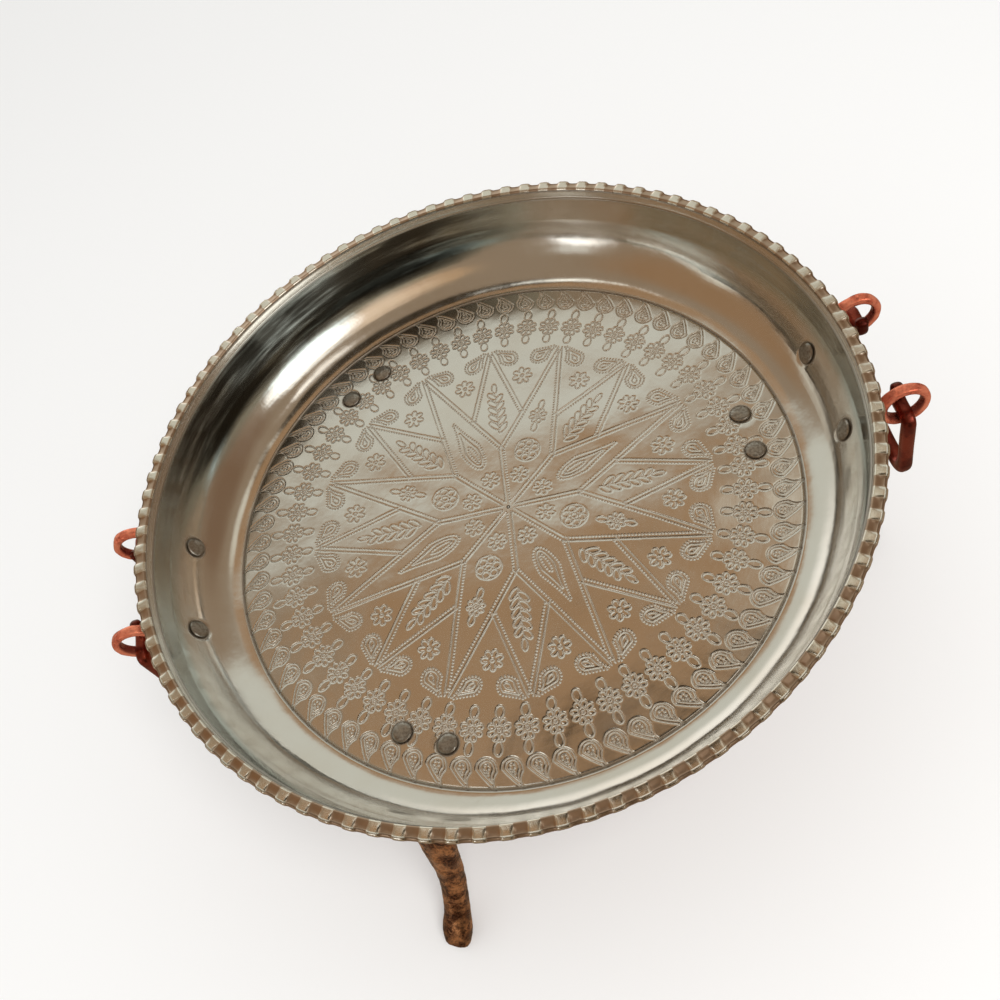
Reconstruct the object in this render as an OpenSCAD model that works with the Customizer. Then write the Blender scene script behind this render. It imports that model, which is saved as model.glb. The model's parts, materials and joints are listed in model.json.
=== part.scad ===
// Round footed serving tray: a tinned copper pan on three cast feet,
// with a drop handle hung in a pair of eyelets on each side.
// The origin is on the ground under the middle of the tray, +X runs
// through the right handle and +Z is up.

/* [Pan] */
// Outer diameter over the rim
rim_d = 300; // [260:5:340]
// Height of the rim above the floor of the tray
pan_depth = 41; // [36:1:48]
// Horizontal run of the coved wall, from floor edge to rim
cove_run = 24; // [21:1:27]
// Width of the crimped rim band
rim_band = 5.2; // [4.6:0.1:6]
// Height of the crimped rim band
rim_h = 3.2; // [2.5:0.1:4]
// Number of crimps round the rim
crimps = 102; // [60:2:120]
// How deep each crimp bites into the rim's outer edge
crimp_depth = 0.7; // [0.3:0.1:1]
// Thickness of the sheet
sheet_t = 1.5; // [1.3:0.1:1.8]
// Depth of the turned line where floor and wall meet
line_depth = 0.35; // [0.2:0.05:0.5]

/* [Feet] */
// Height of the floor's underside above the ground
foot_h = 111; // [96:1:126]
// Distance of the foot rivets from the middle of the tray
foot_rivet_r = 104; // [98:1:107]
// Distance between the two rivets of one foot
foot_rivet_gap = 19.4; // [16:0.2:22]
// Thickness of the plate that is riveted to the floor
foot_plate_t = 3; // [2.4:0.1:4]
// Width of the leg at its narrowest, above the toe
ankle_w = 11; // [9:0.5:13]
// Width of the rounded toe
toe_w = 13.5; // [12:0.5:16]

/* [Handles] */
// Distance of each eyelet ring from the middle of its handle
eye_y = 24; // [22:0.5:26]
// Distance of each eyelet rivet from the middle of its handle
eye_rivet_y = 20.6; // [18:0.2:23]
// Distance of the eyelet rings from the middle of the tray
eye_r = 158; // [157:0.5:161]
// Height of the eyelet rings above the floor of the tray
eye_up = 22.3; // [20:0.1:24]
// Inner diameter of an eyelet ring
eye_hole_d = 13.2; // [12:0.2:14]
// Thickness of an eyelet ring, in and out
eye_t = 3; // [2.4:0.1:3.4]
// Width of an eyelet ring along the handle's hinge line
eye_w = 4.4; // [4:0.1:5]
// Diameter of the handle's bar
bail_d = 5.8; // [5:0.1:6.4]
// Drop of the handle, from hinge line to the middle of its grip
bail_drop = 36; // [32:1:40]
// How far the hooked ends of the bar turn up from the hinge line
hook_up = 7; // [6:0.5:8]
// Radius of the handle's lower corners, at the middle of the bar
bail_corner_r = 8; // [6:0.5:12]

/* [Rivets] */
// Diameter of the rivet shanks
shank_d = 4; // [3.4:0.1:4.4]
// Diameter of the heads that show inside the tray
head_d = 8.3; // [7.4:0.1:9]
// Height of the heads that show inside the tray
head_h = 1.2; // [0.9:0.1:1.5]
// Diameter of the closed heads underneath
tail_d = 6.6; // [6:0.1:7.4]
// Height of the closed heads underneath
tail_h = 1.6; // [1.2:0.1:2]
// Depth of the flat coined into the floor round each foot rivet
coin_h = 0.1; // [0.05:0.05:0.2]

/* [Hidden] */
$fn = 96;

// directions of the three feet and of the two handles
right_foot_az = 0;
back_foot_az = 120;
front_foot_az = 240;
right_side = 0;
left_side = 180;
// which of a pair: towards +Y or -Y on the right, mirrored on the left
near = -1;
far = 1;

tin = [0.74, 0.72, 0.67];
bare_copper = [0.77, 0.42, 0.29];
dark_copper = [0.42, 0.2, 0.16];
foot_copper = [0.55, 0.33, 0.2];

// heights
floor_under = foot_h;
floor_top = floor_under + sheet_t;
rim_top = floor_top + pan_depth;

// the cove is a quarter of an ellipse, flat at the floor and upright at the rim
rim_r = rim_d / 2;
rim_inner_r = rim_r - rim_band;
floor_r = rim_inner_r - cove_run;
cove_h = pan_depth - 2;
cove_steps = 24;

// where the eyelet rivets sit on the cove, and how the wall slopes there
eye_rivet_t = 46;
eye_rivet_r = floor_r + cove_run * sin(eye_rivet_t);
eye_rivet_z = floor_top + cove_h * (1 - cos(eye_rivet_t));
eye_rivet_az = asin(eye_rivet_y / eye_rivet_r);
eye_rivet_tilt = atan2(cos(eye_rivet_t) * cove_run, sin(eye_rivet_t) * cove_h);

// flats coined into the sheet for the rivet heads and for the eyelets' bases
seat_r = head_d / 2 + 0.4;
seat_x = sheet_t - 0.3;
base_t = 2.4;
base_r = 5.6;
base_up = 9;
base_tip_r = 3.4;
neck_d = 5;

// hole and shank differ by this much on radius
fit = 0.03;

// the hinge line: the bar rests on the bottom of the rings
rest_gap = 0.05;
ring_z = floor_top + eye_up;
hinge_z = ring_z - eye_hole_d / 2 + bail_d / 2 + rest_gap;
arm_gap = 0.5;
arm_y = eye_y + eye_w / 2 + arm_gap + bail_d / 2;
hook_y = eye_y - eye_w / 2 - 4.3;
hook_d = bail_d * 0.9;

// the foot's sections, from plate to toe: distance out, drop, width, thickness
knee_r = floor_r - 7;
toe_r = eye_r - 1;
toe_t = 11;
toe_flat = 0.8;
foot_sections = [
  [knee_r, foot_plate_t, 25, 5],
  [knee_r + 10, 21, 21, 8],
  [knee_r + 18, 46, 17.5, 9],
  [knee_r + 24, 72, ankle_w + 1, 9.4],
  [knee_r + 32, 90, ankle_w, 9.6],
  [toe_r, foot_h - toe_t / 2 + toe_flat, toe_w, toe_t]
];

module rivet(grip) {
  // head at the top, resting on z = 0; the closed head grips from below
  intersection() {
    cylinder(d = head_d, h = head_h);
    translate([0, 0, head_h - head_d]) sphere(r = head_d);
  }
  translate([0, 0, -grip]) cylinder(d = shank_d, h = grip + head_h / 2);
  intersection() {
    translate([0, 0, -grip - tail_h]) cylinder(d = tail_d, h = tail_h);
    translate([0, 0, -grip - tail_h + tail_d * 0.7]) sphere(r = tail_d * 0.7);
  }
}

module at_eye_rivet(side, which) {
  // origin on the wall's inner face, +X out along the rivet
  rotate([0, 0, side + which * eye_rivet_az])
    translate([eye_rivet_r, 0, eye_rivet_z])
      rotate([0, eye_rivet_tilt, 0])
        children();
}

module at_foot_rivet(az, which) {
  rotate([0, 0, az])
    translate([foot_rivet_r, which * foot_rivet_gap / 2, 0])
      children();
}

module cove(run, height) {
  // half section of the pan's inside or outside, from the axis to the rim
  polygon(concat(
    [[0, floor_top + cove_h + 3], [0, floor_top + cove_h - height]],
    [for (i = [0:cove_steps])
      let (t = 90 * i / cove_steps)
        [floor_r + run * sin(t), floor_top + cove_h - height * cos(t)]],
    [[floor_r + run, floor_top + cove_h + 3]]
  ));
}

module rim_outline() {
  // a ring whose outer edge is nicked once for every crimp
  steps = crimps * 6;
  difference() {
    polygon([for (i = [0:steps - 1])
      let (a = 360 * i / steps, r = rim_r - crimp_depth * (0.5 - 0.5 * cos(a * crimps)))
        [r * cos(a), r * sin(a)]]);
    circle(r = rim_inner_r, $fn = 180);
  }
}

module tray_pan() {
  color(tin)
    difference() {
      union() {
        rotate_extrude($fn = 180) intersection() {
          difference() {
            cove(cove_run + sheet_t, cove_h + sheet_t);
            cove(cove_run, cove_h);
          }
          square([rim_r, rim_top - rim_h / 2]);
        }
        translate([0, 0, rim_top - rim_h]) linear_extrude(rim_h) rim_outline();
      }
      // turned line at the floor's edge
      rotate_extrude($fn = 180)
        translate([floor_r, floor_top]) circle(r = line_depth, $fn = 24);
      for (az = [right_foot_az, back_foot_az, front_foot_az], which = [near, far])
        at_foot_rivet(az, which) {
          translate([0, 0, floor_under - 1]) cylinder(r = shank_d / 2 + fit, h = sheet_t + 2);
          translate([0, 0, floor_top - coin_h]) cylinder(r = seat_r, h = 3);
        }
      for (side = [right_side, left_side], which = [near, far])
        at_eye_rivet(side, which) rotate([0, 90, 0]) {
          translate([0, 0, -3]) cylinder(r = shank_d / 2 + fit, h = sheet_t + 6);
          translate([0, 0, -3]) cylinder(r = seat_r, h = 3);
          translate([0, 0, seat_x]) cylinder(r = base_r + 0.4, h = 3);
        }
    }
}

module foot_slice(s) {
  // two balls side by side give each section its width and thickness
  for (y = [-1, 1])
    translate([s[0], y * (s[2] - s[3]) / 2, floor_under - s[1]])
      sphere(d = s[3], $fn = 24);
}

module foot(az) {
  color(foot_copper)
    rotate([0, 0, az])
      difference() {
        union() {
          // plate under the floor: a lobe round each rivet, and a tongue to the leg
          translate([0, 0, floor_under - foot_plate_t]) {
            for (y = [-1, 1])
              translate([foot_rivet_r, y * foot_rivet_gap / 2, 0])
                cylinder(r = 7, h = foot_plate_t);
            translate([foot_rivet_r - 7, -foot_rivet_gap / 2, 0])
              cube([14, foot_rivet_gap, foot_plate_t]);
            translate([foot_rivet_r, -12, 0])
              cube([knee_r - foot_rivet_r + 1, 24, foot_plate_t]);
          }
          for (i = [0:len(foot_sections) - 2])
            hull() {
              foot_slice(foot_sections[i]);
              foot_slice(foot_sections[i + 1]);
            }
        }
        // flat top against the floor, flat sole on the ground
        translate([0, -50, floor_under]) cube([200, 100, 20]);
        translate([0, -50, -20]) cube([200, 100, 20]);
        for (y = [-1, 1])
          translate([foot_rivet_r, y * foot_rivet_gap / 2, floor_under - 20])
            cylinder(r = shank_d / 2 + fit, h = 21);
      }
}

module foot_rivet(az, which) {
  color(tin)
    at_foot_rivet(az, which)
      translate([0, 0, floor_top - coin_h]) rivet(sheet_t - coin_h + foot_plate_t);
}

module eyelet(side, which) {
  // middle of the neck's root, in the plane of the ring
  root_r = eye_rivet_r + (seat_x + base_t / 2) * cos(eye_rivet_tilt)
    + base_up * sin(eye_rivet_tilt);
  root_z = eye_rivet_z - (seat_x + base_t / 2) * sin(eye_rivet_tilt)
    + base_up * cos(eye_rivet_tilt);
  root_x = root_r * cos(eye_rivet_az);
  root_y = root_r * sin(eye_rivet_az);
  neck = [eye_r - root_x, eye_y - root_y, ring_z - root_z];
  neck_flat = norm([neck[0], neck[1]]);
  color(bare_copper) {
    difference() {
      union() {
        at_eye_rivet(side, which) translate([seat_x, 0, 0]) {
          rotate([0, 90, 0]) cylinder(r = base_r, h = base_t);
          translate([0, 0, base_up]) rotate([0, 90, 0]) cylinder(r = base_tip_r, h = base_t);
          translate([0, -base_tip_r, 0]) cube([base_t, base_tip_r * 2, base_up]);
        }
        rotate([0, 0, side]) translate([root_x, which * root_y, root_z])
          rotate([0, 0, which * atan2(neck[1], neck[0])])
            rotate([0, atan2(neck_flat, neck[2]), 0])
              cylinder(d = neck_d, h = norm(neck) - eye_hole_d / 2 - eye_t / 2);
        translate_ring(side, which)
          rotate_extrude() translate([eye_hole_d / 2 + eye_t / 2, 0]) ring_section();
      }
      at_eye_rivet(side, which)
        rotate([0, 90, 0]) cylinder(r = shank_d / 2 + fit, h = 12);
      // the closed head of the rivet is set into the base's outer face
      at_eye_rivet(side, which) translate([seat_x + base_t, 0, 0])
        rotate([0, 90, 0]) cylinder(d = tail_d + 0.4, h = 6);
      translate_ring(side, which)
        translate([0, 0, -eye_w]) cylinder(d = eye_hole_d, h = eye_w * 2);
    }
  }
}

module translate_ring(side, which) {
  // origin in the middle of the ring, +Z along the hinge line
  rotate([0, 0, side]) translate([eye_r, which * eye_y, ring_z])
    rotate([90, 0, 0]) children();
}

module ring_section() {
  // a strap with round edges
  intersection() {
    square([eye_t, eye_w], center = true);
    circle(d = norm([eye_t, eye_w]) * 0.92, $fn = 48);
  }
}

module eyelet_rivet(side, which) {
  color(tin)
    at_eye_rivet(side, which)
      rotate([0, -90, 0]) rivet(seat_x + base_t);
}

module bail(side) {
  corner_y = arm_y - bail_corner_r;
  color(dark_copper)
    rotate([0, 0, side]) translate([eye_r, 0, hinge_z]) {
      for (which = [near, far])
        mirror([0, which == near ? 1 : 0, 0]) {
          // pin through the ring, with its end hooked up
          translate([0, hook_y, 0]) rotate([-90, 0, 0])
            cylinder(d = bail_d, h = arm_y - hook_y);
          translate([0, hook_y, 0]) sphere(d = bail_d);
          translate([0, hook_y, 0]) cylinder(d = hook_d, h = hook_up);
          translate([0, arm_y, 0]) sphere(d = bail_d);
          translate([0, arm_y, -bail_drop + bail_corner_r])
            cylinder(d = bail_d, h = bail_drop - bail_corner_r);
          translate([0, corner_y, -bail_drop + bail_corner_r])
            rotate([0, 90, 0]) rotate_extrude(angle = 90)
              translate([bail_corner_r, 0]) circle(d = bail_d, $fn = 48);
        }
      translate([0, -corner_y, -bail_drop]) rotate([-90, 0, 0])
        cylinder(d = bail_d, h = corner_y * 2);
    }
}

tray_pan();
foot(right_foot_az);  // foot_right
foot(back_foot_az);  // foot_back
foot(front_foot_az);  // foot_front
foot_rivet(right_foot_az, near);  // foot_rivet_right_1
foot_rivet(right_foot_az, far);  // foot_rivet_right_2
foot_rivet(back_foot_az, near);  // foot_rivet_back_1
foot_rivet(back_foot_az, far);  // foot_rivet_back_2
foot_rivet(front_foot_az, near);  // foot_rivet_front_1
foot_rivet(front_foot_az, far);  // foot_rivet_front_2
eyelet(right_side, near);  // eyelet_right_front
eyelet(right_side, far);  // eyelet_right_back
eyelet(left_side, far);  // eyelet_left_front
eyelet(left_side, near);  // eyelet_left_back
eyelet_rivet(right_side, near);  // eyelet_rivet_right_front
eyelet_rivet(right_side, far);  // eyelet_rivet_right_back
eyelet_rivet(left_side, far);  // eyelet_rivet_left_front
eyelet_rivet(left_side, near);  // eyelet_rivet_left_back
bail(right_side);  // bail_right
bail(left_side);  // bail_left
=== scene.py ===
import json
import math
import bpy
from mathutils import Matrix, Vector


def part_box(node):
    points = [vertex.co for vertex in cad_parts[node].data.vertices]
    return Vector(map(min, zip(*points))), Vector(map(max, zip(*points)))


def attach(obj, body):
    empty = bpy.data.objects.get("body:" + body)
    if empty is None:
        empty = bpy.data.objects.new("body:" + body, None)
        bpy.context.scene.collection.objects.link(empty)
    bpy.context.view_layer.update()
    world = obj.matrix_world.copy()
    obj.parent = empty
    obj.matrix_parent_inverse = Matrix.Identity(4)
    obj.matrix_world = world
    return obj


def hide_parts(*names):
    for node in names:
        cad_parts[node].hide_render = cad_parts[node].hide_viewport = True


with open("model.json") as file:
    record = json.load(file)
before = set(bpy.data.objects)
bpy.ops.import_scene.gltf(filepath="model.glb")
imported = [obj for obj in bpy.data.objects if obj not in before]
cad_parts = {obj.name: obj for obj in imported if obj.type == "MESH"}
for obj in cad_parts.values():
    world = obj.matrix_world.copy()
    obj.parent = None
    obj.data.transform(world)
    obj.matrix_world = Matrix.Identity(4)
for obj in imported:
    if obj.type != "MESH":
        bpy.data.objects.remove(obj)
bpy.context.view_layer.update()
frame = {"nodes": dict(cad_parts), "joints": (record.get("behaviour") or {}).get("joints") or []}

from types import SimpleNamespace

import bpy
import numpy as np
from mathutils import Matrix, Vector

# A footed serving tray: tinned copper pan with a chased star floor, three cast
# feet, four riveted eyelets and two drop handles. Lengths are in metres.

MM = 0.001
TAU = 2 * math.pi

# ---- sizes
pan_low, pan_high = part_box("tray_pan")
RIM_R = pan_high.x
RIM_TOP = pan_high.z
FLOOR_UNDER = pan_low.z
SHEET = 1.5 * MM
FLOOR_TOP = FLOOR_UNDER + SHEET
RIM_BAND = 5.2 * MM
RIM_H = 3.2 * MM
COVE_RUN = 24 * MM
COVE_H = RIM_TOP - FLOOR_TOP - 2 * MM
RIM_INNER_R = RIM_R - RIM_BAND
FLOOR_R = RIM_INNER_R - COVE_RUN
CRIMPS = 102
SEGMENTS = CRIMPS * 20

# the chased pattern; its plain numbers are shares of the star's radius, or mm
STAR_R = 86 * MM
STAR_INNER = 0.355
STAR_TURN = math.radians(-5.8)
SPOKE_STEP = TAU / 8
BEAD_STEP = 1.35
CHASE_DEPTH = 0.13 * MM
FLOOR_RING_STEP = 0.37 * MM

# hammer blows on the outside: their pitch, and the wall's middle radius and depth of curve
BLOW_PITCH = 8.5 * MM
WALL_MID_R = 138 * MM
WALL_ARC = 32 * MM

joints = {j["name"]: j for j in frame["joints"]}
EYE_R, _, HINGE_Z = joints["right_handle_swing"]["pos_m"]

# eyelets: rings at EYE_Y either side of a handle's middle, rivets EYE_T round the cove
EYE_Y = 24 * MM
EYE_RIVET_Y = 20.6 * MM
EYE_T = math.radians(46)
EYE_RIVET_R = FLOOR_R + COVE_RUN * math.sin(EYE_T)
EYE_RIVET_Z = FLOOR_TOP + COVE_H * (1 - math.cos(EYE_T))
EYE_AZ = math.asin(EYE_RIVET_Y / EYE_RIVET_R)
EYE_TILT = math.atan2(math.cos(EYE_T) * COVE_RUN, math.sin(EYE_T) * COVE_H)
RIVET_HEAD_R = 4.15 * MM
RIVET_SEAT = 0.1 * MM


# ---- small tools
def smooth(low, high, value):
    """0 below low, 1 above high, with a soft S between."""
    t = np.clip((value - low) / (high - low), 0, 1)
    return t * t * (3 - 2 * t)


def ripple(points, wavelength, seed, waves=9):
    """Soft wandering noise of about unit height on an array of points."""
    rng = np.random.default_rng(seed)
    total = np.zeros(len(points))
    for _ in range(waves):
        way = rng.normal(size=3)
        way /= np.linalg.norm(way)
        length = wavelength * rng.uniform(0.7, 1.6)
        total += np.sin(points @ way * TAU / length + rng.uniform(0, TAU))
    return total / math.sqrt(waves)


def hammer_cells(u, v, seed, around=0):
    """Squared distance to the nearest hammer blow; u and v count blows, u closes at around."""
    rng = np.random.default_rng(seed)
    side = 64
    turn = around or side
    table = rng.uniform(0.12, 0.88, size=(turn, side, 2))
    iu, iv = np.floor(u).astype(int), np.floor(v).astype(int)
    best = np.full(len(u), 9.0)
    for du in (-1, 0, 1):
        for dv in (-1, 0, 1):
            cu, cv = iu + du, iv + dv
            jitter = table[cu % turn, cv % side]
            gap = (cu + jitter[:, 0] - u) ** 2 + (cv + jitter[:, 1] - v) ** 2
            best = np.minimum(best, gap)
    return best


def arc(x, y, radius, start, end, steps):
    """Points on an arc from start to end, in degrees."""
    return [(x + radius * math.cos(a), y + radius * math.sin(a))
            for a in np.radians(np.linspace(start, end, steps))]


def circle_shape(radius, steps=16):
    t = np.linspace(0, TAU, steps, endpoint=False)
    return np.column_stack([radius * np.cos(t), radius * np.sin(t)])


def grid_quads(rows, columns, around=False):
    """Faces of a grid of points closed across its columns, and along its rows if around."""
    i, j = np.meshgrid(np.arange(rows if around else rows - 1), np.arange(columns), indexing="ij")
    i, j = i.ravel(), j.ravel()
    up, over = (i + 1) % rows * columns, (j + 1) % columns
    return np.column_stack([i * columns + j, i * columns + over, up + over, up + j])


def cap(centre, ring, flip=False):
    """Triangles from a centre point to each side of a closed ring."""
    fan = np.column_stack([np.full(len(ring), centre), ring, np.roll(ring, -1)])
    return fan[:, [0, 2, 1]] if flip else fan


def tube_faces(rows, columns):
    """Quads and end caps of a tube whose two tip points follow its rows."""
    ring, tips = np.arange(columns), rows * columns
    ends = [cap(tips, ring, flip=True), cap(tips + 1, (rows - 1) * columns + ring)]
    return grid_quads(rows, columns), np.vstack(ends)


def mesh_object(name, points, quads, triangles=None):
    """A smooth-shaded object from numpy arrays of points, quads and triangles."""
    mesh = bpy.data.meshes.new(name)
    sets = [np.asarray(quads, np.int32).reshape(-1, 4)]
    if triangles is not None and len(triangles):
        sets.append(np.asarray(triangles, np.int32).reshape(-1, 3))
    loops = np.concatenate([s.ravel() for s in sets])
    sizes = np.concatenate([np.full(len(s), s.shape[1], np.int32) for s in sets])
    starts = np.concatenate([[0], np.cumsum(sizes)[:-1]]).astype(np.int32)
    mesh.vertices.add(len(points))
    mesh.vertices.foreach_set("co", np.asarray(points, np.float32).ravel())
    mesh.loops.add(len(loops))
    mesh.loops.foreach_set("vertex_index", loops)
    mesh.polygons.add(len(sizes))
    mesh.polygons.foreach_set("loop_start", starts)
    mesh.polygons.foreach_set("use_smooth", np.ones(len(sizes), bool))
    mesh.update(calc_edges=True)
    mesh.validate()
    piece = bpy.data.objects.new(name, mesh)
    bpy.context.scene.collection.objects.link(piece)
    return piece


def add_attribute(piece, name, values):
    layer = piece.data.attributes.new(name, "FLOAT", "POINT")
    layer.data.foreach_set("value", np.asarray(values, np.float32))


def read_vectors(piece, what="co"):
    """Places, or normals, of a piece's vertices."""
    flat = np.empty(len(piece.data.vertices) * 3, np.float32)
    piece.data.vertices.foreach_get(what, flat)
    return flat.reshape(-1, 3).astype(float)


def write_points(piece, points):
    piece.data.vertices.foreach_set("co", np.asarray(points, np.float32).ravel())
    piece.data.update()


def weld(piece, voxel, smoothing):
    """Melts a piece's overlapping solids into one skin with soft joins."""
    remesh = piece.modifiers.new("weld", "REMESH")
    remesh.mode = "VOXEL"
    remesh.voxel_size = voxel
    relax = piece.modifiers.new("relax", "SMOOTH")
    relax.factor = 0.5
    relax.iterations = smoothing
    graph = bpy.context.evaluated_depsgraph_get()
    done = bpy.data.meshes.new_from_object(piece.evaluated_get(graph))
    piece.modifiers.clear()
    piece.data = done
    for face in done.polygons:
        face.use_smooth = True


# ---- node helpers
class Nodes:
    """A node tree being built, with short calls for its nodes."""

    def __init__(self, tree):
        self.tree = tree

    def node(self, kind, inputs=None, **settings):
        made = self.tree.nodes.new(kind)
        for key, value in settings.items():
            setattr(made, key, value)
        for key, value in (inputs or {}).items():
            if isinstance(value, bpy.types.NodeSocket):
                self.tree.links.new(value, made.inputs[key])
            else:
                made.inputs[key].default_value = value
        return made

    def math(self, kind, a, b=0.0, c=0.0):
        return self.node("ShaderNodeMath", {0: a, 1: b, 2: c}, operation=kind).outputs[0]

    def times(self, a, b):
        return self.math("MULTIPLY", a, b)

    def plus(self, a, b):
        return self.math("ADD", a, b)

    def band(self, value, low, high, out_low=0.0, out_high=1.0):
        """Soft step from out_low to out_high as value runs from low to high."""
        inputs = {"Value": value, "From Min": low, "From Max": high,
                  "To Min": out_low, "To Max": out_high}
        made = self.node("ShaderNodeMapRange", inputs, interpolation_type="SMOOTHSTEP")
        return made.outputs["Result"]

    def mix(self, share, a, b):
        """Blend of two colours."""
        a, b = ((*c, 1) if isinstance(c, tuple) else c for c in (a, b))
        return self.node("ShaderNodeMix", {0: share, 6: a, 7: b}, data_type="RGBA").outputs[2]


class Shader(Nodes):
    """A material being built."""

    def __init__(self, name):
        self.material = bpy.data.materials.new(name)
        self.material.use_nodes = True
        super().__init__(self.material.node_tree)
        self.bsdf = self.tree.nodes["Principled BSDF"]
        self.coords = self.node("ShaderNodeTexCoord").outputs["Object"]

    def set(self, **values):
        for key, value in values.items():
            socket = self.bsdf.inputs[key.replace("_", " ")]
            socket.default_value = (*value, 1) if isinstance(value, tuple) else value

    def link(self, source, target):
        self.tree.links.new(source, self.bsdf.inputs[target])

    def attribute(self, name):
        return self.node("ShaderNodeAttribute", attribute_name=name).outputs["Fac"]

    def noise(self, scale, detail=3.0, rough=0.55, vector=None):
        inputs = {"Vector": vector or self.coords, "Scale": scale, "Detail": detail,
                  "Roughness": rough}
        return self.node("ShaderNodeTexNoise", inputs).outputs["Fac"]

    def ring_coords(self, along):
        """Radius, height and a slow angle, so that noise runs round the tray."""
        parts = self.node("ShaderNodeSeparateXYZ", {0: self.coords})
        x, y, z = (parts.outputs[k] for k in "XYZ")
        radius = self.math("SQRT", self.plus(self.times(x, x), self.times(y, y)))
        angle = self.math("ARCTAN2", y, x)
        turn = self.node("ShaderNodeCombineXYZ", {
            "X": self.times(self.math("COSINE", angle), along * MM),
            "Y": self.times(self.math("SINE", angle), along * MM),
            "Z": self.plus(radius, z)})
        return turn.outputs[0]

    def bump(self, height, distance, under=None):
        inputs = {"Height": height, "Distance": distance, "Strength": 1.0}
        if under:
            inputs["Normal"] = under
        return self.node("ShaderNodeBump", inputs).outputs["Normal"]


# ---- materials
def tin_material():
    """Tin lining: bright, rubbed by hand, with rougher chased lines lightened as a painted
    highlight, stains, painted shade in its creases and painted reflection high on the wall.
    """
    s = Shader("tinned_lining")
    s.set(Metallic=1.0)
    gap = s.attribute("chase_gap")
    run = s.attribute("chase_run")
    beaded = s.attribute("chase_bead")
    grime = s.attribute("grime")
    # how deep in a plain line, or in a dimple of a beaded one
    plain = s.band(gap, 0.08, 0.32, 1.0, 0.0)
    slot = s.math("SUBTRACT", s.math("FRACT", s.math("DIVIDE", run, BEAD_STEP)), 0.5)
    along = s.times(slot, BEAD_STEP)
    away = s.math("SQRT", s.plus(s.times(along, along), s.times(gap, gap)))
    dimple = s.band(away, 0.16, 0.58, 1.0, 0.0)
    line = s.plus(s.times(plain, s.math("SUBTRACT", 1.0, beaded)), s.times(dimple, beaded))
    worn = s.band(s.noise(26, 4), 0.42, 0.72)
    base = s.mix(s.times(worn, 0.5), (0.84, 0.83, 0.80), (0.78, 0.73, 0.66))
    # the chased lines are painted lighter: a painted highlight
    base = s.mix(s.times(line, 0.7), base, (0.95, 0.95, 0.93))
    stain = s.band(s.noise(70, 5, 0.7), 0.62, 0.8)
    base = s.mix(s.times(stain, 0.22), base, (0.52, 0.44, 0.36))
    # painted reflection high on the wall: first grey-green, then nearly black
    patchy = s.band(s.noise(160, 4, 0.6, s.ring_coords(14)), 0.3, 0.6, 0.75, 1.0)
    tarnish = s.times(s.attribute("tarnish"), patchy)
    base = s.mix(s.band(tarnish, 0.05, 0.5, 0.0, 0.85), base, (0.60, 0.70, 0.71))
    base = s.mix(s.band(tarnish, 0.45, 1.0), base, (0.045, 0.045, 0.04))
    # painted shade in the creases, under the rim's roll and round the rivets
    s.link(s.mix(grime, base, (0.16, 0.13, 0.10)), "Base Color")
    wipe = s.noise(500, 3, 0.6, s.ring_coords(9))
    haze = s.noise(40, 4, 0.6)
    rough = s.plus(s.band(haze, 0.3, 0.75, 0.09, 0.17), s.times(wipe, 0.06))
    rough = s.plus(rough, s.times(line, 0.28))
    s.link(s.plus(rough, s.times(grime, 0.4)), "Roughness")
    streaks = s.bump(wipe, 0.012 * MM)
    dints = s.bump(s.noise(170, 2, 0.5), 0.05 * MM, streaks)
    s.link(s.bump(s.times(line, -1.0), 0.07 * MM, dints), "Normal")
    return s.material


def rim_material():
    """Crimped band: tin on the raised squares, brown on the pressed ones, partly copper worn
    through the tin and partly painted shade; painted shade under its rolled edge.
    """
    s = Shader("crimped_rim")
    s.set(Metallic=1.0)
    edge = s.noise(420, 4, 0.6)
    ragged = s.math("MULTIPLY_ADD", edge, 0.5, -0.25)
    # brown on the pressed squares: partly copper worn through the tin, partly painted shade of
    # facets tilted away from the light
    wear_and_shade = s.band(s.plus(s.attribute("press"), ragged), 0.35, 0.65)
    pinkish = s.band(s.noise(18, 2), 0.4, 0.65)
    tin = s.mix(s.times(pinkish, 0.4), (0.90, 0.88, 0.80), (0.86, 0.76, 0.68))
    worn = s.mix(s.noise(260, 4), (0.42, 0.30, 0.21), (0.60, 0.44, 0.33))
    base = s.mix(s.times(wear_and_shade, 0.9), tin, worn)
    # painted shade under the rim's rolled edge
    s.link(s.mix(s.attribute("grime"), base, (0.13, 0.09, 0.07)), "Base Color")
    s.link(s.plus(s.times(wear_and_shade, 0.14), s.band(edge, 0.2, 0.8, 0.15, 0.28)), "Roughness")
    s.link(s.bump(edge, 0.06 * MM), "Normal")
    return s.material


def copper_material(name, bright, dull, dark, rough, mottle, darkness, pits=0.05,
                    skin=0.0, cover=0.5, hollows=0.0):
    """Bare copper with a mottled skin: bright where rubbed, dull and dark where not.

    mottle is how fine its patches are and cover how far up the noise the dark ones begin;
    darkness and hollows say how dark the patches and the painted shade in the hammer marks are,
    pits how deep its grain is in mm, and skin how much of the surface is oxide and no longer metal."""
    s = Shader(name)
    s.set(Metallic=1.0 - skin)
    patches = s.noise(mottle, 5, 0.65)
    fine = s.noise(mottle * 6, 4, 0.6)
    base = s.mix(s.band(patches, 0.35, 0.65), bright, dull)
    shade = s.band(s.plus(s.times(patches, 0.5), s.times(fine, 0.5)), cover, cover + 0.2)
    base = s.mix(s.times(shade, darkness), base, dark)
    # painted shade in the dents of the hammer marks
    if hollows:
        base = s.mix(s.times(s.attribute("hollow"), hollows), base, dark)
    # painted shade where parts meet and in recesses; on the feet also darker towards the toe
    s.link(s.mix(s.attribute("grime"), base, dark), "Base Color")
    s.link(s.plus(s.band(patches, 0.3, 0.7, rough - 0.06, rough + 0.08), s.times(fine, 0.12)),
           "Roughness")
    s.link(s.bump(patches, 0.12 * MM, s.bump(fine, pits * MM)), "Normal")
    return s.material


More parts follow.
